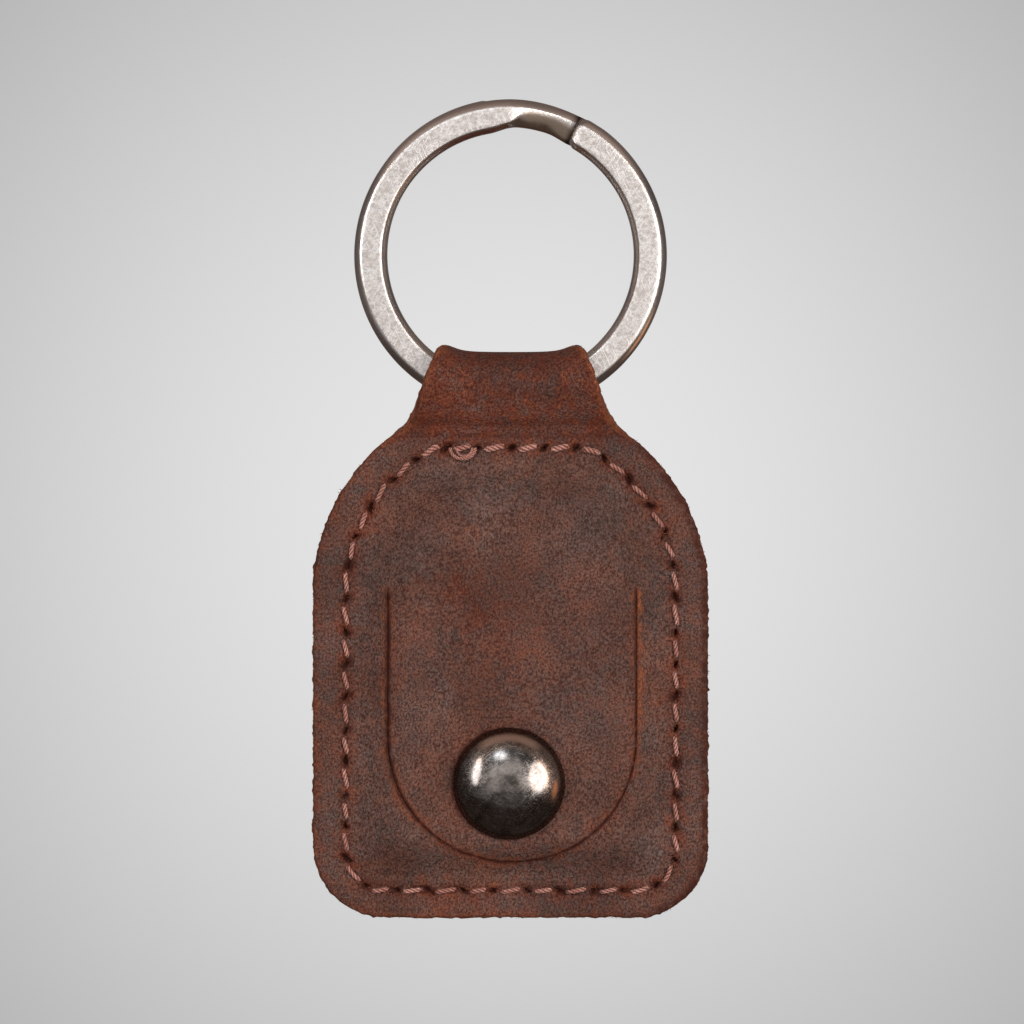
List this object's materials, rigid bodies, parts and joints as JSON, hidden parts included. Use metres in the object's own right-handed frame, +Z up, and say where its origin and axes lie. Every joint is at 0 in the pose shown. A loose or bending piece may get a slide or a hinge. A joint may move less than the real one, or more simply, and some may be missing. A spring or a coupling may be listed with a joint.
{
  "type": "coin holder keychain",
  "caption": "Folded leather pouch on a split ring, lock-stitched round the edge, with a tongue flap closed by a domed press stud over a coin pocket.",
  "frame": {"origin": "inside the top of the split ring, in its middle plane, where a hook or key bears", "axes": "+Z up along the hanging pouch, +X to the right of someone facing the flap, the flap and cap face -Y"},
  "size_m": [0.0378, 0.011, 0.0786],
  "materials": {
    "nickel": "satin nickel plate on steel wire",
    "leather": "waxed pull-up leather, mottled dark and rust brown",
    "thread": "twisted three-ply thread, pinkish brown",
    "gunmetal": "polished dark nickel on steel sheet",
    "spring_steel": "bright spring wire"
  },
  "bodies": {
    "ring": {"split_ring": "nickel"},
    "pouch": {"leather_strap": "leather", "needle_thread": "thread", "bobbin_thread": "thread", "snap_stud": "gunmetal", "snap_rivet": "gunmetal"},
    "flap": {"flap": "leather", "snap_cap": "gunmetal", "snap_cap_post": "gunmetal", "snap_socket": "gunmetal", "socket_spring": "spring_steel"}
  },
  "joints": [
    {"name": "ring_swing", "type": "hinge", "parent": "ring", "child": "pouch", "pos_m": [0, 0, -0.02405], "axis": [1, 0, 0], "range_deg": [-60, 60]},
    {"name": "flap_hinge", "type": "hinge", "parent": "pouch", "child": "flap", "pos_m": [0, -0.0034, -0.04343], "axis": [-1, 0, 0], "range_deg": [0, 120], "deforming": ["socket_spring"]}
  ]
}
